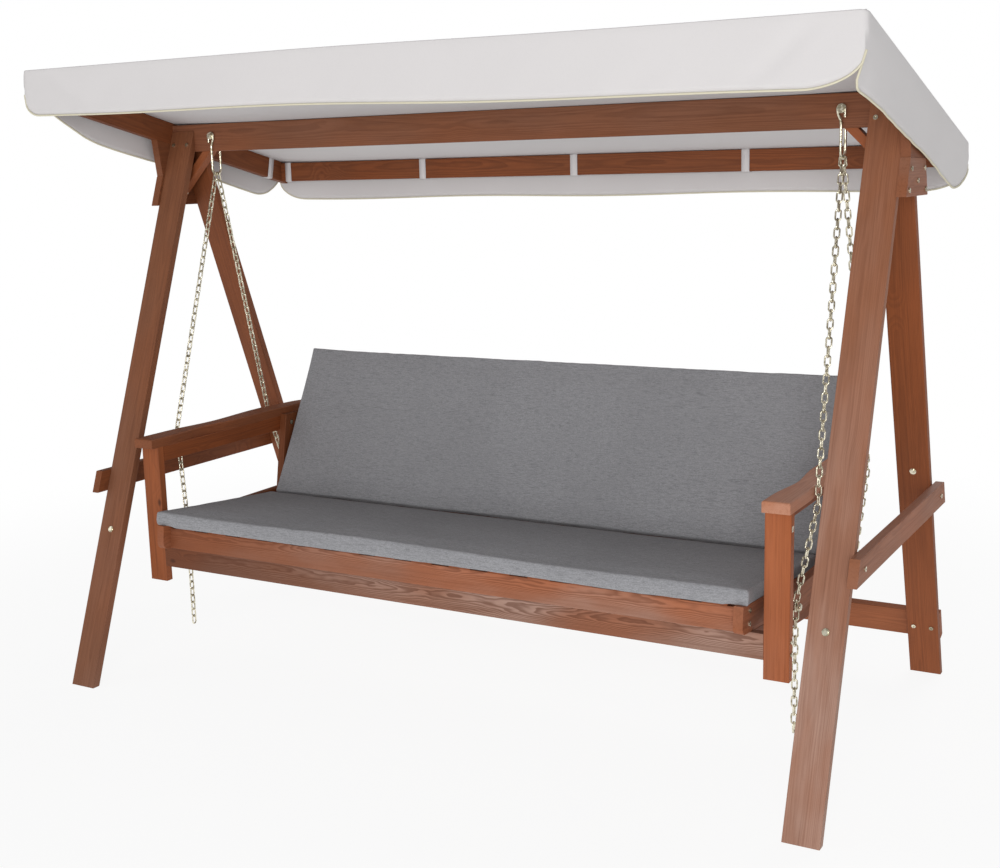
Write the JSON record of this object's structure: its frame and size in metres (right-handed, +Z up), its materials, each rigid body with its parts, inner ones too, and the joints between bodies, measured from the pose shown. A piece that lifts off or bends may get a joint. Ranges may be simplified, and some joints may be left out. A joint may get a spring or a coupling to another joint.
{
  "type": "garden swing",
  "caption": "Wooden garden swing: two braced A-frames and a ridge beam carry a fabric canopy and a cushioned bench with armrests, hung on chains.",
  "frame": {"origin": "on the ground under the middle of the ridge beam", "axes": "+X towards the right-hand A-frame as seen from the front, +Y towards the back, +Z up"},
  "size_m": [2.56, 1.3274, 1.9343],
  "materials": {
    "stained_wood": "satin stain",
    "zinc_plated_steel": "yellow zinc plating",
    "canopy_cloth": "plain weave",
    "cushion_cloth": "grey melange weave"
  },
  "bodies": {
    "frame": {"leg_front_left": "stained_wood", "leg_front_right": "stained_wood", "leg_rear_left": "stained_wood", "leg_rear_right": "stained_wood", "ridge_beam": "stained_wood", "rear_stretcher": "stained_wood", "side_brace_left": "stained_wood", "side_brace_right": "stained_wood", "gusset_left": "stained_wood", "gusset_right": "stained_wood", "apex_block_left": "stained_wood", "apex_block_right": "stained_wood", "knee_strut_left": "stained_wood", "knee_strut_right": "stained_wood", "roof_side_rail_left": "stained_wood", "roof_side_rail_right": "stained_wood", "roof_front_rail": "stained_wood", "roof_rear_rail": "stained_wood", "canopy": "canopy_cloth", "canopy_straps": "canopy_cloth", "leg_screws": "zinc_plated_steel", "side_screws": "zinc_plated_steel", "leg_bolts": "zinc_plated_steel", "hanger_bolts": "zinc_plated_steel", "hanger_left": "zinc_plated_steel", "hanger_right": "zinc_plated_steel"},
    "bench": {"front_post_left": "stained_wood", "front_post_right": "stained_wood", "rear_post_left": "stained_wood", "rear_post_right": "stained_wood", "armrest_left": "stained_wood", "armrest_right": "stained_wood", "arm_rail_left": "stained_wood", "arm_rail_right": "stained_wood", "side_rail_left": "stained_wood", "side_rail_right": "stained_wood", "bench_front_rail": "stained_wood", "bench_rear_rail": "stained_wood", "bench_back_rail": "stained_wood", "seat_runners": "stained_wood", "chain_front_left": "zinc_plated_steel", "chain_front_right": "zinc_plated_steel", "chain_rear_left": "zinc_plated_steel", "chain_rear_right": "zinc_plated_steel", "chain_bolts": "zinc_plated_steel", "post_bolts": "zinc_plated_steel", "post_screws": "zinc_plated_steel"},
    "seat": {"seat_side_left": "stained_wood", "seat_side_right": "stained_wood", "seat_front_rail": "stained_wood", "seat_rear_rail": "stained_wood", "seat_slats": "stained_wood", "seat_cushion": "cushion_cloth", "seat_screws": "zinc_plated_steel", "seat_hinge_leaves": "zinc_plated_steel"},
    "backrest": {"back_stiles": "stained_wood", "back_rails": "stained_wood", "back_slats": "stained_wood", "back_cushion": "cushion_cloth", "back_hinge_leaves": "zinc_plated_steel"}
  },
  "joints": [
    {"name": "swing", "type": "hinge", "parent": "frame", "child": "bench", "pos_m": [0, 0, 1.641], "axis": [1, 0, 0], "range_deg": [-18, 18]},
    {"name": "seat_slide", "type": "slide", "parent": "bench", "child": "seat", "axis": [0, -0.9954, 0.0958], "range_m": [0, 0.15]},
    {"name": "back_recline", "type": "hinge", "parent": "seat", "child": "backrest", "pos_m": [0, 0.11071, 0.44455], "axis": [-1, 0, 0], "range_deg": [0, 16.6]}
  ],
  "couplings": [
    {"joint": "back_recline", "follows": "seat_slide", "rad_per_m": 1.931}
  ]
}
